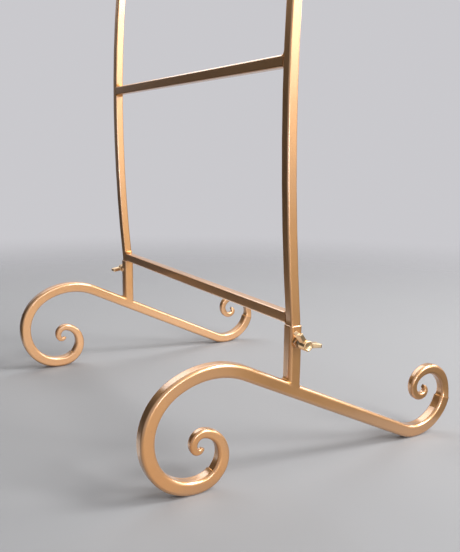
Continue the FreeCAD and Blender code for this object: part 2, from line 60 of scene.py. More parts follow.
# Steps round a weld's hollow, angles where its ends are cut, and how deep its root sits in the corner.
WELD_STEPS = 8
WELD_END_ANGLES = (0, 30, 55, 72)
WELD_ROOT = 0.25


class Side(Enum):
    """The two feet of the rack; the value is the sign of X."""

    LEFT = -1
    RIGHT = 1

    @property
    def word(self) -> str:
        """Start of the names of this side's nodes and bodies."""
        return self.name.lower()


class Slot(Enum):
    """Names of the material slots."""

    PAINT = "gold_paint"
    STEEL = "screw_steel"
    WING = "wing_gold"


@dataclass(frozen=True)
class Grain:
    """Noise pattern: patches per metre, number of finer layers and their weight."""

    scale: float
    layers: float = 2.0
    weight: float = 0.5


class Wire:
    """A shader socket; its operators add Math nodes."""

    def __init__(self, graph: "Graph", socket: bpy.types.NodeSocket) -> None:
        """Keep the graph and the output socket.

        Args:
            graph: graph that the socket belongs to.
            socket: output socket of one of its nodes.
        """
        self.graph = graph
        self.socket = socket

    def _math(self, operation: str, first: Any, second: Any) -> "Wire":
        """Math node on two values.

        Args:
            operation: name of the Math node's operation.
            first: number or wire of its first socket.
            second: number or wire of its second socket.

        Returns:
            The node's result.
        """
        return self.graph.add("ShaderNodeMath", {"operation": operation}, {0: first, 1: second})

    def __add__(self, other: Any) -> "Wire":
        """Sum of two values."""
        return self._math("ADD", self, other)

    def __radd__(self, other: Any) -> "Wire":
        """Sum of two values."""
        return self._math("ADD", other, self)

    def __sub__(self, other: Any) -> "Wire":
        """Difference of two values."""
        return self._math("SUBTRACT", self, other)

    def __rsub__(self, other: Any) -> "Wire":
        """Difference of two values."""
        return self._math("SUBTRACT", other, self)

    def __mul__(self, other: Any) -> "Wire":
        """Product of two values."""
        return self._math("MULTIPLY", self, other)

    def below(self, limit: Any) -> "Wire":
        """1 where the value is less than the limit, else 0."""
        return self._math("LESS_THAN", self, limit)


class Graph:
    """Node tree of one material or world."""

    def __init__(self, tree: bpy.types.NodeTree) -> None:
        """Empty the tree.

        Args:
            tree: node tree to fill.
        """
        self.tree = tree
        tree.nodes.clear()

    def add(self, kind: str, settings: Optional[dict[str, Any]] = None,
            inputs: Optional[dict[Union[str, int], Any]] = None, output: Union[str, int] = 0) -> Wire:
        """Add one node.

        Args:
            kind: the node's type.
            settings: properties of the node.
            inputs: numbers, colours or wires of its sockets.
            output: name or number of the socket to return.

        Returns:
            The chosen output as a wire.
        """
        node = self.tree.nodes.new(kind)
        for name, setting in (settings or {}).items():
            setattr(node, name, setting)
        for name, given in (inputs or {}).items():
            socket = node.inputs[name]
            if isinstance(given, Wire):
                self.tree.links.new(given.socket, socket)
            elif isinstance(given, tuple) and len(given) == 3 and socket.type == "RGBA":
                socket.default_value = (*given, 1.0)
            else:
                socket.default_value = given
        found = node.outputs[output] if len(node.outputs) else None
        return Wire(self, found)

    def where(self) -> Wire:
        """Coordinates in the object's own axes, in metres."""
        return self.add("ShaderNodeTexCoord", output="Object")

    def noise(self, where: Wire, grain: Grain) -> Wire:
        """Noise between 0 and 1.

        Args:
            where: coordinates.
            grain: the noise's pattern.

        Returns:
            The noise's value.
        """
        sockets = {"Vector": where, "Scale": grain.scale, "Detail": grain.layers, "Roughness": grain.weight}
        return self.add("ShaderNodeTexNoise", {"noise_dimensions": "3D"}, sockets, "Fac")

    def mix(self, amount: Wire, first: Union[Colour, Wire], second: Union[Colour, Wire]) -> Wire:
        """Colour between two colours.

        Args:
            amount: 0 for the first colour, 1 for the second.
            first: colour at 0.
            second: colour at 1.

        Returns:
            The mixed colour.
        """
        settings = {"data_type": "RGBA", "blend_type": "MIX", "clamp_factor": True}
        return self.add("ShaderNodeMix", settings, {0: amount, 6: first, 7: second}, 2)

    def skin(self, height: Wire, strength: float, depth: float) -> Wire:
        """Normal of a bumpy surface.

        Args:
            height: height of the bumps, from 0 to 1.
            strength: share of the bumps that shows.
            depth: height of a full bump, in metres.

        Returns:
            The normal.
        """
        sockets = {"Strength": strength, "Distance": depth, "Height": height}
        return self.add("ShaderNodeBump", {}, sockets, "Normal")

    def surface(self, sockets: dict[str, Any]) -> None:
        """End a material's graph with one shader.

        Args:
            sockets: numbers, colours or wires of the shader's sockets.
        """
        shader = self.add("ShaderNodeBsdfPrincipled", {}, sockets, "BSDF")
        self.add("ShaderNodeOutputMaterial", {}, {"Surface": shader})


FLAKES = Grain(2600.0, 2.0, 0.65)


class Finish:
    """A finish that gives one shared material, under the finish's title."""

    title: str

    def material(self) -> bpy.types.Material:
        """The finish's material, made the first time it is asked for."""
        found = bpy.data.materials.get(self.title)
        if found is None:
            found = bpy.data.materials.new(self.title)
            found.use_nodes = True
            self.paint(Graph(found.node_tree))
        return found

    def paint(self, graph: Graph) -> None:
        """Fill the material's graph.

        Args:
            graph: empty graph of the material.
        """
        raise NotImplementedError

    def dress(self, *objects: bpy.types.Object) -> None:
        """Give objects this finish.

        Args:
            objects: meshes to dress.
        """
        for item in objects:
            item.data.materials.clear()
            item.data.materials.append(self.material())


@dataclass(frozen=True)
class GoldPaint(Finish):
    """Satin champagne-gold metallic paint, sprayed over steel tube."""

    title: str = "champagne_gold_paint"
    light: Colour = (0.61, 0.306, 0.100)
    deep: Colour = (0.515, 0.243, 0.070)
    flake: Colour = (0.80, 0.50, 0.24)
    speck: Colour = (0.16, 0.085, 0.040)
    gloss: float = 0.42
    metal: float = 0.86
    flake_limit: float = 0.60
    flake_share: float = 0.35
    clouds: Grain = Grain(16.0, 3.0)
    peel: Grain = Grain(430.0, 1.0, 0.4)
    peel_depth: float = 0.4 * MM
    speck_scale: float = 95.0
    speck_size: float = 0.045
    speck_share: float = 0.7
    rare: Grain = Grain(60.0, 1.0)
    rare_limit: float = 0.60
    bump: float = 0.15
    coat: float = 1.0
    coat_roughness: float = 0.18
    coat_ior: float = 2.2

    def paint(self, graph: Graph) -> None:
        """Metal flakes, uneven spray, orange peel and a few dark specks."""
        where = graph.where()
        flake = graph.noise(where, FLAKES)
        cloud = graph.noise(where, self.clouds)
        peel = graph.noise(where, self.peel)
        spot = graph.add("ShaderNodeTexVoronoi", {"feature": "F1"},
                         {"Vector": where, "Scale": self.speck_scale, "Randomness": 1.0}, "Distance")
        rare = graph.noise(where, self.rare)
        specks = spot.below(self.speck_size) * (1.0 - rare.below(self.rare_limit))
        tone = graph.mix(cloud * 1.1 + flake * 0.6 - 0.35, self.deep, self.light)
        shine = graph.mix((1.0 - flake.below(self.flake_limit)) * self.flake_share, tone, self.flake)
        graph.surface({
            "Base Color": graph.mix(specks * self.speck_share, shine, self.speck),
            "Metallic": self.metal - specks * 0.4,
            "Roughness": self.gloss + (flake - 0.5) * 0.14 + (cloud - 0.5) * 0.10 + specks * 0.2,
            "Normal": graph.skin(peel * 0.7 + flake * 0.3, self.bump, self.peel_depth),
            "Coat Weight": self.coat,
            "Coat Roughness": self.coat_roughness,
            "Coat IOR": self.coat_ior,
        })


@dataclass(frozen=True)
class WeldPaint(Finish):
    """The same paint over a weld: lumpy, with no clear coat."""

    title: str = "painted_weld"
    light: Colour = (0.62, 0.320, 0.118)
    deep: Colour = (0.48, 0.236, 0.080)
    gloss: float = 0.42
    lumps: Grain = Grain(520.0)
    lump_depth: float = 0.6 * MM
    bump: float = 0.15

    def paint(self, graph: Graph) -> None:
        """Lumps of the weld under the paint."""
        where = graph.where()
        lumps = graph.noise(where, self.lumps)
        flake = graph.noise(where, FLAKES)
        graph.surface({
            "Base Color": graph.mix(lumps * 0.9 + flake * 0.3 - 0.1, self.deep, self.light),
            "Metallic": 1.0,
            "Roughness": self.gloss + (flake - 0.5) * 0.14,
            "Normal": graph.skin(lumps, self.bump, self.lump_depth),
        })


@dataclass(frozen=True)
class ScrewSteel(Finish):
    """Dark passivated steel of the screw's thread."""

    title: str = "dark_thread_steel"
    light: Colour = (0.36, 0.30, 0.22)
    deep: Colour = (0.16, 0.12, 0.08)
    gloss: float = 0.38
    wear: Grain = Grain(900.0, 3.0, 0.6)
    wear_depth: float = 0.3 * MM
    clouds: Grain = Grain(140.0)
    bump: float = 0.2

    def paint(self, graph: Graph) -> None:
        """Worn and dull patches."""
        where = graph.where()
        wear = graph.noise(where, self.wear)
        cloud = graph.noise(where, self.clouds)
        graph.surface({
            "Base Color": graph.mix(wear * 0.8 + cloud * 0.3 - 0.1, self.deep, self.light),
            "Metallic": 1.0,
            "Roughness": self.gloss + (wear - 0.5) * 0.3,
            "Normal": graph.skin(wear, self.bump, self.wear_depth),
        })


@dataclass(frozen=True)
class WingGold(Finish):
    """Bright gold plating on the cast wing head."""

    title: str = "plated_wing_gold"
    light: Colour = (0.94, 0.71, 0.45)
    deep: Colour = (0.80, 0.54, 0.29)
    gloss: float = 0.31
    casting: Grain = Grain(1300.0, 2.0, 0.6)
    casting_depth: float = 0.3 * MM
    tarnish: Grain = Grain(190.0, 3.0, 0.55)
    bump: float = 0.16

    def paint(self, graph: Graph) -> None:
        """Casting grain under the plating, with a little tarnish."""
        where = graph.where()
        grain = graph.noise(where, self.casting)
        tarnish = graph.noise(where, self.tarnish)
        graph.surface({
            "Base Color": graph.mix(tarnish * 0.9 + grain * 0.3 - 0.1, self.deep, self.light),
            "Metallic": 1.0,
            "Roughness": self.gloss + (tarnish - 0.5) * 0.16,
            "Normal": graph.skin(grain, self.bump, self.casting_depth),
        })


@dataclass(frozen=True)
class StudioPaper(Finish):
    """Plain matt paper of the floor and the cards."""

    title: str = "studio_paper"
    light: Colour = (0.44, 0.44, 0.45)
    deep: Colour = (0.42, 0.42, 0.43)
    fade_start: float = 0.40
    fade_end: float = 1.75
    clouds: Grain = Grain(1.5)
    roughness: float = 0.9

    def paint(self, graph: Graph) -> None:
        """Faint unevenness; the paper fades out far from the rack."""
        where = graph.where()
        colour = graph.mix(graph.noise(where, self.clouds), self.deep, self.light)
        sockets = {"Base Color": colour, "Roughness": self.roughness}
        paper = graph.add("ShaderNodeBsdfPrincipled", {}, sockets, "BSDF")
        far = graph.add("ShaderNodeVectorMath", {"operation": "LENGTH"}, {0: where}, "Value")
        fade = graph.add("ShaderNodeMapRange", {"interpolation_type": "SMOOTHSTEP"},
                         {"Value": far, "From Min": self.fade_start, "From Max": self.fade_end})
        clear = graph.add("ShaderNodeBsdfTransparent")
        shader = graph.add("ShaderNodeMixShader", {}, {0: fade, 1: paper, 2: clear})
        graph.add("ShaderNodeOutputMaterial", {}, {"Surface": shader})


GOLD = GoldPaint()
WELD = WeldPaint()
STEEL = ScrewSteel()
WING = WingGold()


def as_object(name: str, shape: bmesh.types.BMesh) -> bpy.types.Object:
    """Turn a bmesh into a smooth scene object at the origin.

    Args:
        name: the piece's name.
        shape: its bmesh, which is freed.

    Returns:
        The new object.
    """
    bmesh.ops.remove_doubles(shape, verts=shape.verts, dist=MERGE)
    bmesh.ops.recalc_face_normals(shape, faces=shape.faces)
    for face in shape.faces:
        face.smooth = True
    mesh = bpy.data.meshes.new(name)
    shape.to_mesh(mesh)
    shape.free()
    item = bpy.data.objects.new(name, mesh)
    bpy.context.scene.collection.objects.link(item)
    return item


def finish_piece(name: str, shape: bmesh.types.BMesh, finish: Finish, body: str) -> bpy.types.Object:
    """Turn a bmesh into a dressed piece that rides on a body.

    Args:
        name: the piece's name.
        shape: its bmesh.
        finish: its finish.
        body: CAD body that it rides on.

    Returns:
        The piece.
    """
    piece = as_object(name, shape)
    finish.dress(piece)
    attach(piece, body)
    return piece


def apply_modifiers(piece: bpy.types.Object) -> None:
    """Replace a piece's mesh by the one that its modifiers give.

    Args:
        piece: object with live modifiers.
    """
    bpy.context.view_layer.update()
    ready = piece.evaluated_get(bpy.context.evaluated_depsgraph_get())
    mesh = bpy.data.meshes.new_from_object(ready)
    mesh.name = piece.name
    piece.modifiers.clear()
    piece.data = mesh


def shade_by_angle(piece: bpy.types.Object, limit: float = math.radians(32)) -> None:
    """Shade a piece smooth, apart from edges sharper than a limit.

    Args:
        piece: object to shade.
        limit: largest angle between faces that is shaded smooth.
    """
    piece.data.set_sharp_from_angle(angle=limit)


def add_weld(shape: bmesh.types.BMesh, corner: Vector, along: Vector, first: Vector, second: Vector,
             radius: float, half_width: float, rounding: float) -> None:
    """Add a concave weld in the corner between two faces.

    Args:
        shape: bmesh that takes the weld.
        corner: middle of the corner line.
        along: direction of the corner line.
        first: direction on the first face away from the corner.
        second: direction on the second face away from the corner.
        radius: the weld's hollow radius.
        half_width: half of the weld's length along the corner line.
        rounding: corner radius of the two tubes, which the weld follows at its ends.
    """
    opening = first.angle(second)
    reach = radius / math.tan(opening / 2)
    centre = (first + second).normalized() * (radius / math.sin(opening / 2))
    turn = math.pi - opening
    axis = (first * reach - centre).cross(second * reach - centre).normalized()
    flat = half_width - rounding
    ends = [half_width - rounding * (1 - math.sin(math.radians(angle))) for angle in WELD_END_ANGLES]
    stations = [-width for width in reversed(ends)] + ends
    loops = []
    for place in stations:
        beyond = max(0.0, abs(place) - flat)
        sink = rounding - math.sqrt(max(0.0, rounding ** 2 - beyond ** 2))
        origin = corner + along * place - (first + second) * (sink / math.sin(opening))
        start = shape.verts.new(origin + first * reach)
        bmesh.ops.spin(shape, geom=[start], cent=origin + centre, axis=axis, dvec=(0, 0, 0),
                       angle=turn, steps=WELD_STEPS, use_merge=False)
        edges = [part for part in shape.edges if part.is_wire and part not in sum(loops, [])]
        arc = sorted({vert for edge in edges for vert in edge.verts},
                     key=lambda vert: (vert.co - start.co).length)
        root = shape.verts.new(origin - (first + second) * radius * WELD_ROOT)
        edges.append(shape.edges.new((arc[-1], root)))
        edges.append(shape.edges.new((root, arc[0])))
        loops.append(edges)
    for before, after in zip(loops, loops[1:]):
        bmesh.ops.bridge_loops(shape, edges=before + after)
    for end in (loops[0], loops[-1]):
        bmesh.ops.contextual_create(shape, geom=end)


@dataclass
class Foot:
    """One scroll foot with its socket."""

    side: Side
    across: float = 216.5 * MM
    bar_half: float = 7.0 * MM
    bar_rounding: float = 3.4 * MM
    slope: float = math.radians(25.4)
    axis_height: float = 83.3 * MM
    socket_offset: float = 1.3 * MM
    socket_weld: float = 1.9 * MM
    tip_half: float = 6.4 * MM
    tip_rounding: float = 3.3 * MM
    tip_weld: float = 1.5 * MM
    front_centre: tuple[float, float] = (-103.899 * MM, 33.769 * MM)
    front_weld: float = math.radians(314)
    front_inner: float = 20.7 * MM
    rear_centre: tuple[float, float] = (176.916 * MM, 47.486 * MM)
    rear_weld: float = math.radians(-13)
    rear_inner: float = 31.9 * MM
    nodes: tuple[str, ...] = ("foot_bar", "front_scroll_tip", "rear_scroll_tip", "socket")

    @property
    def body(self) -> str:
        """CAD body that this foot's pieces ride on."""
        return f"{self.side.word}_foot"

    def build(self) -> list[bpy.types.Object]:
        """Dress the foot's nodes and add its welds.

        Returns:
            The new pieces.
        """
        for name in self.nodes:
            GOLD.dress(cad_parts[f"{self.side.word}_{name}"])
        front = self.add_tip_weld("front", self.front_centre, self.front_weld, self.front_inner)
        rear = self.add_tip_weld("rear", self.rear_centre, self.rear_weld, self.rear_inner)
        return [self.add_socket_weld(), front, rear]

    def add_socket_weld(self) -> bpy.types.Object:
        """Weld between the sloping bar and the front and back of the socket."""
        shape = bmesh.new()
        middle = self.side.value * self.across
        down_slope = Vector((0, math.cos(self.slope), -math.sin(self.slope)))
        up = Vector((0, 0, 1))
        for sign in (-1, 1):
            y = self.socket_offset + sign * self.bar_half
            z = self.axis_height - y * math.tan(self.slope) + self.bar_half / math.cos(self.slope)
            add_weld(shape, Vector((middle, y, z)), Vector((1, 0, 0)), down_slope * sign, up,
                     self.socket_weld, self.bar_half, self.bar_rounding)
        return finish_piece(f"{self.side.word}_socket_weld", shape, WELD, self.body)

    def add_tip_weld(self, name: str, centre: tuple[float, float], angle: float,
                     inner: float) -> bpy.types.Object:
        """Weld on the ledge where a thinner scroll tip meets the bar.

        Args:
            name: front or rear.
            centre: Y and Z of the centre that the bar's end bends round.
            angle: direction of the joint from that centre.
            inner: radius of the tip's inner face.

        Returns:
            The weld.
        """
        shape = bmesh.new()
        outward = Vector((0, math.cos(angle), math.sin(angle)))
        onward = Vector((0, -math.sin(angle), math.cos(angle)))
        corner = Vector((self.side.value * self.across, *centre)) + outward * inner
        add_weld(shape, corner, Vector((1, 0, 0)), onward, -outward, self.tip_weld, self.tip_half,
                 self.tip_rounding)
        return finish_piece(f"{self.side.word}_{name}_tip_weld", shape, WELD, self.body)


@dataclass
class RackFrame:
    """Uprights, crossbars, hanging rail and caps."""

    inner: float = 210.9 * MM
    bar_half: float = 5.6 * MM
    bar_rounding: float = 2.0 * MM
    upper_weld: float = 4.0 * MM
    under_weld: float = 2.4 * MM
    bead: float = 0.9 * MM
    bead_sides: int = 12
    bead_steps: int = 40
    body: str = "frame"
    crossbars: tuple[str, ...] = ("lower_crossbar", "upper_crossbar")
    rail: str = "hanging_rail"
    others: tuple[str, ...] = ("left_upright", "right_upright", "left_upright_cap", "right_upright_cap")

    def build(self) -> list[bpy.types.Object]:
        """Dress the frame's nodes and add the welds at the ends of the bars.

        Returns:
            The new pieces.
        """
        for name in self.crossbars + self.others + (self.rail,):
            GOLD.dress(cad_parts[name])
        return [self.add_bar_welds(name) for name in self.crossbars] + [self.add_rail_beads()]

    def add_bar_welds(self, name: str) -> bpy.types.Object:
        """Welds above and below both ends of a crossbar.

        Args:
            name: the crossbar's node.

        Returns:
            The welds as one piece.
        """
        low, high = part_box(name)
        y = (low.y + high.y) / 2
        shape = bmesh.new()
        for side in Side:
            inward = Vector((-side.value, 0, 0))
            for z, up, radius in ((high.z, 1, self.upper_weld), (low.z, -1, self.under_weld)):
                add_weld(shape, Vector((side.value * self.inner, y, z)), Vector((0, 1, 0)), inward,
                         Vector((0, 0, up)), radius, self.bar_half, self.bar_rounding)
        return finish_piece(f"{name}_welds", shape, WELD, self.body)

    def add_rail_beads(self) -> bpy.types.Object:
        """Round weld beads at both ends of the hanging rail."""
        low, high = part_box(self.rail)
        middle = (low + high) / 2
        shape = bmesh.new()
        for side in Side:
            end = Vector((side.value * self.inner, middle.y, middle.z))
            crown = end + Vector((0, 0, (high.z - low.z) / 2))
            rim = Matrix.Translation(crown) @ Matrix.Rotation(math.pi / 2, 4, "X")
            ring = bmesh.ops.create_circle(shape, segments=self.bead_sides, radius=self.bead, matrix=rim)
            edges = {edge for vert in ring["verts"] for edge in vert.link_edges}
            bmesh.ops.spin(shape, geom=ring["verts"] + list(edges), cent=end, axis=(1, 0, 0), dvec=(0, 0, 0),
                           angle=2 * math.pi, steps=self.bead_steps, use_merge=True)
        return finish_piece("hanging_rail_beads", shape, WELD, self.body)


@dataclass
class WingScrew:
    """One wing screw with its nut; built along Z from the socket's outer face."""

    side: Side
    face: float = 223.5 * MM
    axis_y: float = 1.3 * MM
    axis_z: float = 133.8 * MM
    left_turn: float = math.radians(-2)
    thread_radius: float = 2.95 * MM
    thread_depth: float = 0.55 * MM
    pitch: float = 1.0 * MM
    shank_low: float = -1.1 * MM
    shank_high: float = 16.0 * MM
    thread_steps: int = 28
    turn_steps: int = 48
    nut_across: float = 10.0 * MM
    nut_height: float = 4.0 * MM
    nut_bore: float = 3.0 * MM
    nut_parts: int = 4
    nut_chamfer: float = 0.45 * MM
    nut_weld: float = 1.1 * MM
    nut_weld_sink: float = 0.3 * MM
    nut_weld_steps: int = 6
    hub_start: float = 9.3 * MM
    hub_end: float = 19.6 * MM
    hub_radius: float = 5.2 * MM
    hub_ease: float = 0.5 * MM
    hub_bore: float = 3.0 * MM
    bore_end: float = 16.3 * MM
    dish_radius: float = 3.8 * MM
    dish_depth: float = 1.2 * MM
    dish_flat: float = 1.2 * MM
    wing_reach: float = 17.0 * MM
    wing_root: float = 5.6 * MM
    wing_tip: float = 11.3 * MM
    wing_corner: float = 2.4 * MM
    wing_corner_steps: int = 6
    wing_notch: float = 3.2 * MM
    wing_thickness: float = 3.7 * MM
    wing_swell: float = 1.5
    wing_hollow: float = 0.40 * MM
    wing_rim: float = 1.35 * MM
    wing_angles: tuple[float, float] = (math.radians(126), math.radians(-6))
    grain: float = 0.16 * MM
    polish: float = 0.5
    polish_rounds: int = 12

    @property
    def place(self) -> Matrix:
        """Move from the screw's own axes to its place on the socket."""
        outward = Matrix(((0, 0, 1), (1, 0, 0), (0, 1, 0))).to_4x4()
        if self.side is Side.LEFT:
            outward = Matrix.Rotation(math.pi, 4, "Z") @ outward @ Matrix.Rotation(self.left_turn, 4, "Z")
        return Matrix.Translation((self.side.value * self.face, self.axis_y, self.axis_z)) @ outward

    def build(self) -> list[bpy.types.Object]:
        """Make the shank, the nut with its weld and the wing head.

        Returns:
            The new pieces.
        """
        return [self.add_shank(), self.add_nut(), self.add_nut_weld(), self.add_head()]

    def finish(self, name: str, shape: bmesh.types.BMesh, finish: Finish, body: str,
               slot: Slot) -> bpy.types.Object:
        """Put a shape on the socket and make it a piece.

        Args:
            name: end of the piece's name.
            shape: its bmesh along Z.
            finish: its finish.
            body: end of the name of the body that it rides on.
            slot: material slot; not used.

        Returns:
            The piece.
        """
        bmesh.ops.transform(shape, verts=shape.verts, matrix=self.place)
        return finish_piece(f"{self.side.word}_{name}", shape, finish, f"{self.side.word}_{body}")

    def add_shank(self) -> bpy.types.Object:
        """Threaded rod from the upright's face into the hub."""
        shape = bmesh.new()
        turns = math.ceil((self.shank_high - self.shank_low) / self.pitch) + 1
        crest = self.thread_radius
        root = crest - self.thread_depth
        rows = ((root, 0.0), (root, 0.10), (crest, 0.44), (crest, 0.56), (root, 0.90), (root, 1.0))
        start = self.shank_low - self.pitch
        points = [shape.verts.new((radius, 0, start + share * self.pitch)) for radius, share in rows]
        edges = [shape.edges.new(pair) for pair in zip(points, points[1:])]
        bmesh.ops.spin(shape, geom=points + edges, cent=(0, 0, 0), axis=(0, 0, 1),
                       dvec=(0, 0, self.pitch / self.thread_steps), angle=2 * math.pi * turns,
                       steps=self.thread_steps * turns, use_merge=False)
        bmesh.ops.remove_doubles(shape, verts=shape.verts, dist=MERGE)
        for height, up in ((self.shank_low, -1), (self.shank_high, 1)):
            cut = bmesh.ops.bisect_plane(shape, geom=shape.verts[:] + shape.edges[:] + shape.faces[:],
                                         plane_co=(0, 0, height), plane_no=(0, 0, up), clear_outer=True)
            rim = [part for part in cut["geom_cut"] if isinstance(part, bmesh.types.BMEdge)]
            bmesh.ops.holes_fill(shape, edges=rim)
        piece = self.finish("threaded_shank", shape, STEEL, "screw", Slot.STEEL)
        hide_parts(f"{self.side.word}_screw_shank")
        return piece

    def add_nut(self) -> bpy.types.Object:
        """Six-sided nut with eased edges."""
        shape = bmesh.new()
        turn = Matrix.Rotation(math.pi / 6, 4, "Z")
        corner = self.nut_across / math.sqrt(3)
        outside = bmesh.ops.create_circle(shape, segments=6, radius=corner, matrix=turn)
        sides = list({edge for vert in outside["verts"] for edge in vert.link_edges})
        bmesh.ops.subdivide_edges(shape, edges=sides, cuts=self.nut_parts - 1)
        bmesh.ops.create_circle(shape, segments=6 * self.nut_parts, radius=self.nut_bore, matrix=turn)
        bmesh.ops.bridge_loops(shape, edges=shape.edges[:])
        block = bmesh.ops.extrude_face_region(shape, geom=shape.faces[:])
        lifted = [part for part in block["geom"] if isinstance(part, bmesh.types.BMVert)]
        bmesh.ops.translate(shape, verts=lifted, vec=(0, 0, self.nut_height))
        outer = self.nut_across / 2 - SLACK
        brim = [edge for edge in shape.edges
                if all(vert.co.z > self.nut_height / 2 and vert.co.xy.length > outer for vert in edge.verts)]
        bmesh.ops.bevel(shape, geom=brim, offset=self.nut_chamfer, affect="EDGES", segments=2, profile=0.5,
                        material=-1)
        piece = self.finish("chamfered_nut", shape, GOLD, "foot", Slot.PAINT)
        shade_by_angle(piece)
        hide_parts(f"{self.side.word}_weld_nut")
        return piece

    def add_nut_weld(self) -> bpy.types.Object:
        """Weld that holds the nut on the socket."""
        shape = bmesh.new()
        inner = self.nut_across / 2 - self.nut_weld_sink
        outer = self.nut_across / 2 + self.nut_weld
        low = shape.verts.new((outer, 0, 0))
        bmesh.ops.spin(shape, geom=[low], cent=(outer, 0, self.nut_weld), axis=(0, 1, 0), dvec=(0, 0, 0),
                       angle=math.pi / 2, steps=self.nut_weld_steps, use_merge=False)
        top = max(shape.verts, key=lambda vert: vert.co.z)
        inside = [shape.verts.new((inner, 0, self.nut_weld)), shape.verts.new((inner, 0, 0))]
        for pair in ((top, inside[0]), inside, (inside[1], low)):
            shape.edges.new(pair)
        bmesh.ops.spin(shape, geom=shape.verts[:] + shape.edges[:], cent=(0, 0, 0), axis=(0, 0, 1),
                       dvec=(0, 0, 0), angle=2 * math.pi, steps=self.turn_steps, use_merge=True)
        return self.finish("nut_weld", shape, WELD, "foot", Slot.PAINT)

    def add_head(self) -> bpy.types.Object:
        """Cast head: dished hub and two wings that run into it."""
        shape = bmesh.new()
        self.add_hub(shape)
        for angle in self.wing_angles:
            self.add_wing(shape, angle)
        piece = self.finish("cast_wing_head", shape, WING, "wing", Slot.WING)
        cast = piece.modifiers.new("cast", "REMESH")
        cast.mode = "VOXEL"
        cast.voxel_size = self.grain
        cast.use_smooth_shade = True
        polish = piece.modifiers.new("polish", "SMOOTH")
        polish.factor = self.polish
        polish.iterations = self.polish_rounds
        apply_modifiers(piece)
        WING.dress(piece)
        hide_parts(f"{self.side.word}_wing_head")
        return piece

    def add_hub(self, shape: bmesh.types.BMesh) -> None:
        """Turned hub with a bore at one end and a dish at the other.

        Args:
            shape: bmesh that takes the hub.
        """
        ease = self.hub_ease
        dish = self.hub_end - self.dish_depth
        outline = ((self.hub_bore, self.hub_start), (self.hub_radius - ease, self.hub_start),
                   (self.hub_radius, self.hub_start + ease), (self.hub_radius, self.hub_end - ease),
                   (self.hub_radius - ease, self.hub_end), (self.dish_radius, self.hub_end),
                   (self.dish_radius - ease, dish + ease), (self.dish_flat, dish), (0.0, dish),
                   (0.0, self.bore_end), (self.hub_bore, self.bore_end))
        points = [shape.verts.new((radius, 0, height)) for radius, height in outline]
        edges = [shape.edges.new(pair) for pair in zip(points, points[1:] + points[:1])]
        bmesh.ops.spin(shape, geom=points + edges, cent=(0, 0, 0), axis=(0, 0, 1), dvec=(0, 0, 0),
                       angle=2 * math.pi, steps=self.turn_steps, use_merge=True)

    def add_wing(self, shape: bmesh.types.BMesh, angle: float) -> None:
        """One wing with a notched end, hollowed a little on both faces.

        Args:
            shape: bmesh that takes the wing.
            angle: its direction about the screw's axis.
        """
        wing = bmesh.new()
        middle = (self.hub_start + self.hub_end) / 2
        half = self.wing_thickness / 2
        corners = ((0.0, -self.wing_root / 2), (self.wing_reach, -self.wing_tip / 2),
                   (self.wing_reach - self.wing_notch, 0.0), (self.wing_reach, self.wing_tip / 2),
                   (0.0, self.wing_root / 2))
        points = [wing.verts.new((out, -half, middle + along)) for out, along in corners]
        wing.faces.new(points)
        bmesh.ops.bevel(wing, geom=points[1:4], offset=self.wing_corner, affect="VERTICES",
                        segments=self.wing_corner_steps, profile=0.5, material=-1)
        plate = bmesh.ops.extrude_face_region(wing, geom=wing.faces[:])
        lifted = [part for part in plate["geom"] if isinstance(part, bmesh.types.BMVert)]
        bmesh.ops.translate(wing, verts=lifted, vec=(0, 2 * half, 0))
        bmesh.ops.recalc_face_normals(wing, faces=wing.faces)
        cheeks = [face for face in wing.faces if abs(face.normal.y) > 0.9]
        bmesh.ops.inset_individual(wing, faces=cheeks, thickness=self.wing_rim, depth=-self.wing_hollow)
        root = [vert for vert in wing.verts if vert.co.x < self.hub_radius / 2]
        bmesh.ops.scale(wing, verts=root, vec=(1, self.wing_swell, 1))
        bmesh.ops.rotate(wing, verts=wing.verts, cent=(0, 0, 0), matrix=Matrix.Rotation(angle, 3, "Z"))
        spare = bpy.data.meshes.new("wing")
        wing.to_mesh(spare)
        wing.free()
        shape.from_mesh(spare)
        bpy.data.meshes.remove(spare)


@dataclass(frozen=True)
class Softbox:
    """Soft rectangular light; size is its width and height, power is in watts."""

    name: str
    place: tuple[float, float, float]
    target: tuple[float, float, float]
    size: tuple[float, float]
    power: float

    def add(self) -> None:
        """Put the light in the scene, out of the camera's sight."""
        lamp = bpy.data.lights.new(self.name, "AREA")
        lamp.shape = "RECTANGLE"
        lamp.size, lamp.size_y = self.size
        lamp.energy = self.power
        item = bpy.data.objects.new(self.name, lamp)
        item.location = self.place
        item.rotation_euler = (Vector(self.target) - Vector(self.place)).to_track_quat("-Z", "Y").to_euler()
        item.visible_camera = False
        bpy.context.scene.collection.objects.link(item)


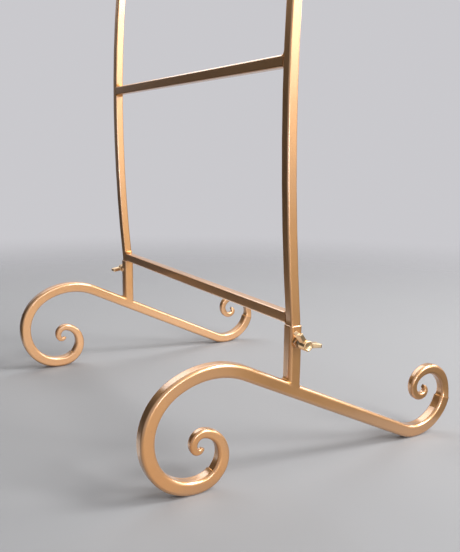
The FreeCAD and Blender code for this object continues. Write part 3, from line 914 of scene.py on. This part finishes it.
@dataclass(frozen=True)
class Card:
    """Card that only reflections show.

    Its span runs along the bearing from the floor below the camera, and its depth to the left of that line,
    or to the right where hand is -1.
    """

    name: str
    bearing: float
    hand: int
    span: tuple[float, float]
    depth: tuple[float, float]
    tone: float
    tint: Colour = (1.0, 0.95, 0.9)
    rise: float = 0.0
    lift: float = 1.0 * MM
    fade: tuple[float, float] = (8.0, 9.0)

    def add(self, start: Vector) -> None:
        """Lay the card on the floor and turn its outer edge up where it has a rise.

        Args:
            start: point on the floor below the camera.
        """
        shape = bmesh.new()
        middle = Vector((sum(self.span) / 2, sum(self.depth) / 2, self.lift))
        size = (self.span[1] - self.span[0], self.depth[1] - self.depth[0], 1.0, 1.0)
        bmesh.ops.create_grid(shape, x_segments=1, y_segments=1, size=0.5,
                              matrix=Matrix.Translation(middle) @ Matrix.Diagonal(size))
        if self.rise:
            outer = [edge for edge in shape.edges if all(vert.co.y > middle.y for vert in edge.verts)]
            wall = bmesh.ops.extrude_edge_only(shape, edges=outer)
            lifted = [part for part in wall["geom"] if isinstance(part, bmesh.types.BMVert)]
            bmesh.ops.translate(shape, verts=lifted, vec=(0, 0, self.rise))
        turn = Matrix.Rotation(self.bearing, 4, "Z") @ Matrix.Diagonal((1, self.hand, 1, 1))
        bmesh.ops.transform(shape, verts=shape.verts, matrix=Matrix.Translation(start) @ turn)
        card = as_object(self.name, shape)
        tone = tuple(self.tone * share for share in self.tint)
        StudioPaper(f"{self.name}_paper", tone, tone, *self.fade).dress(card)
        card.visible_camera = card.visible_diffuse = card.visible_shadow = False


@dataclass
class Studio:
    """Floor, cards, lights and camera."""

    camera_place: tuple[float, float, float] = (0.7488, -0.3781, 0.3176)
    yaw: float = math.radians(59.95)
    pitch: float = math.radians(10.546)
    roll: float = math.radians(-0.671)
    focal_pixels: float = 688.39
    image_height: int = 552
    sensor_height: float = 36.0
    nearest: float = 0.01
    floor_radius: float = 1.8
    floor_sides: int = 96
    air: Colour = (0.80, 0.81, 0.84)
    air_level: float = 0.06
    background: Colour = (0.590, 0.585, 0.612)
    softboxes: tuple[Softbox, ...] = (
        Softbox("side_softbox", (2.75, 1.55, 1.85), (0.0, 0.0, 0.40), (1.7, 1.3), 74.0),
        Softbox("mid_softbox", (2.55, 1.60, 0.85), (0.0, 0.0, 0.40), (1.6, 0.5), 4.0),
        Softbox("low_softbox", (2.55, 0.10, 0.24), (0.0, 0.0, 0.05), (1.2, 0.4), 14.0),
        Softbox("key_softbox", (1.05, 1.25, 1.95), (0.2, 0.0, 0.10), (0.8, 0.8), 27.0),
        Softbox("top_softbox", (0.2, 0.5, 2.5), (0.2, 0.499, 0.0), (3.0, 2.6), 8.0),
        Softbox("rear_softbox", (0.50, 1.50, 0.85), (0.2, 0.0, 0.10), (1.0, 0.4), 8.0),
        Softbox("back_softbox", (-0.75, 0.10, 1.00), (0.2, -0.1, 0.05), (1.3, 0.6), 6.0),
    )
    cards: tuple[Card, ...] = (
        Card("front_card", math.radians(168.5), 1, (0.55, 3.3), (0.07, 1.1), 0.055, rise=2.2),
        Card("side_card", math.radians(131.5), -1, (0.52, 3.0), (0.03, 3.0), 0.05),
        Card("near_card", math.radians(131.5), -1, (0.0, 0.52), (0.17, 3.0), 0.05),
        Card("pale_card", math.pi, 1, (0.61, 0.955), (-0.62, -0.13), 0.95),
        Card("warm_card", math.pi, 1, (0.15, 0.51), (-0.35, -0.06), 0.68, (1.0, 0.80, 0.60)),
    )

    def build(self) -> None:
        """Set the whole studio up."""
        self.add_floor()
        for card in self.cards:
            card.add(Vector((*self.camera_place[:2], 0.0)))
        for softbox in self.softboxes:
            softbox.add()
        self.add_air()
        self.add_camera()
        bpy.context.scene.view_settings.view_transform = "Standard"

    def add_floor(self) -> None:
        """Round pale floor under the rack, which fades out towards its rim."""
        shape = bmesh.new()
        bmesh.ops.create_circle(shape, cap_ends=True, segments=self.floor_sides, radius=self.floor_radius)
        floor = as_object("studio_floor", shape)
        StudioPaper().dress(floor)

    def add_air(self) -> None:
        """Dim air around the rack; the eye and the shiny finishes see a pale background."""
        world = bpy.data.worlds.new("studio_air")
        bpy.context.scene.world = world
        world.use_nodes = True
        graph = Graph(world.node_tree)
        air = graph.add("ShaderNodeBackground", {}, {"Color": self.air, "Strength": self.air_level})
        pale = graph.add("ShaderNodeBackground", {}, {"Color": self.background, "Strength": 1.0})
        camera, glossy, clear = (graph.add("ShaderNodeLightPath", output=f"Is {ray} Ray")
                                 for ray in ("Camera", "Glossy", "Transmission"))
        shader = graph.add("ShaderNodeMixShader", {}, {0: camera + glossy + clear, 1: air, 2: pale})
        graph.add("ShaderNodeOutputWorld", {}, {"Surface": shader})

    def add_camera(self) -> None:
        """Camera at the photograph's place and angle."""
        forward = Vector((-math.sin(self.yaw) * math.cos(self.pitch),
                          math.cos(self.yaw) * math.cos(self.pitch), -math.sin(self.pitch)))
        level = Vector((math.cos(self.yaw), math.sin(self.yaw), 0))
        down = forward.cross(level)
        right = level * math.cos(self.roll) + down * math.sin(self.roll)
        fall = down * math.cos(self.roll) - level * math.sin(self.roll)
        lens = bpy.data.cameras.new("photo_camera")
        lens.sensor_fit = "VERTICAL"
        lens.sensor_height = self.sensor_height
        lens.lens = self.sensor_height * self.focal_pixels / self.image_height
        lens.clip_start = self.nearest
        item = bpy.data.objects.new("photo_camera", lens)
        turn = Matrix((right, -fall, -forward)).transposed().to_4x4()
        item.matrix_world = Matrix.Translation(self.camera_place) @ turn
        bpy.context.scene.collection.objects.link(item)
        bpy.context.scene.camera = item


def main() -> None:
    """Build the rack's looks piece by piece."""
    logging.basicConfig(level=logging.INFO, format="%(name)s: %(message)s")
    parts: list[Union[Foot, WingScrew, RackFrame]] = [RackFrame()]
    for side in Side:
        parts += [Foot(side), WingScrew(side)]
    for part in parts:
        for piece in part.build():
            LOG.info("%s: %d faces", piece.name, len(piece.data.polygons))
    Studio().build()


if __name__ == "__main__":
    main()
